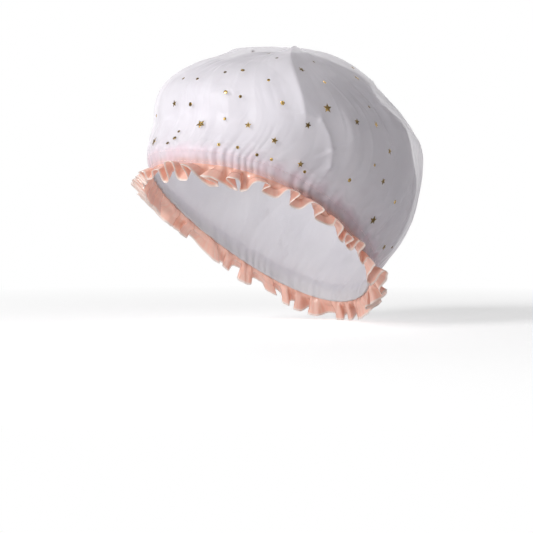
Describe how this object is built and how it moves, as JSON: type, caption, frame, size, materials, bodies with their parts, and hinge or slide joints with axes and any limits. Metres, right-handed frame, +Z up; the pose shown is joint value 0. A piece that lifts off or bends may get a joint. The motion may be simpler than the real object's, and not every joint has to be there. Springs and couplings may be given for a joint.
{
  "type": "shower cap",
  "caption": "Bouffant shower cap: sheer printed gauze over a frosted film liner, an elastic hem and a peach satin ruffle, worn form",
  "frame": {"origin": "centre of the head opening, halfway between brow and nape in plan and in height", "axes": "+Z up out of the crown, -Y towards the brow, +Y towards the nape, +X towards the wearer's left"},
  "size_m": [0.202, 0.2836, 0.2309],
  "materials": {
    "gauze": "sheer pale pink, soft sheen",
    "film": "frosted, translucent",
    "satin": "peach satin ribbon with pale selvages",
    "elastic": "covered flat elastic, matte white",
    "thread": "matte sewing thread",
    "foil": "hot-stamped gold foil, bright"
  },
  "bodies": {
    "root": {"outer_gauze": "gauze", "liner_film": "film", "elastic_band": "elastic", "ruffle_ribbon": "satin", "casing_thread": "thread", "ruffle_thread": "thread", "foil_star_large_1": "foil", "foil_star_large_2": "foil", "foil_star_large_3": "foil", "foil_star_large_4": "foil", "foil_star_large_5": "foil", "foil_star_large_6": "foil", "foil_star_large_7": "foil", "foil_star_large_8": "foil", "foil_star_small_1": "foil", "foil_star_small_2": "foil", "foil_star_small_3": "foil", "foil_star_small_4": "foil", "foil_star_small_5": "foil", "foil_star_small_6": "foil", "foil_star_small_7": "foil", "foil_star_small_8": "foil", "foil_star_small_9": "foil", "foil_star_small_10": "foil", "foil_star_small_11": "foil", "foil_star_small_12": "foil", "foil_star_small_13": "foil", "foil_star_small_14": "foil", "foil_star_small_15": "foil", "foil_star_small_16": "foil", "foil_star_small_17": "foil", "foil_star_small_18": "foil", "foil_star_small_19": "foil", "foil_star_small_20": "foil", "foil_star_small_21": "foil", "foil_star_small_22": "foil", "foil_star_small_23": "foil", "foil_star_small_24": "foil", "foil_dot_1": "foil", "foil_dot_2": "foil", "foil_dot_3": "foil", "foil_dot_4": "foil", "foil_dot_5": "foil", "foil_dot_6": "foil", "foil_dot_7": "foil", "foil_dot_8": "foil", "foil_dot_9": "foil", "foil_dot_10": "foil", "foil_dot_11": "foil", "foil_dot_12": "foil", "foil_dot_13": "foil", "foil_dot_14": "foil", "foil_dot_15": "foil", "foil_dot_16": "foil", "foil_dot_17": "foil", "foil_dot_18": "foil", "foil_dot_19": "foil", "foil_dot_20": "foil"}
  },
  "joints": []
}
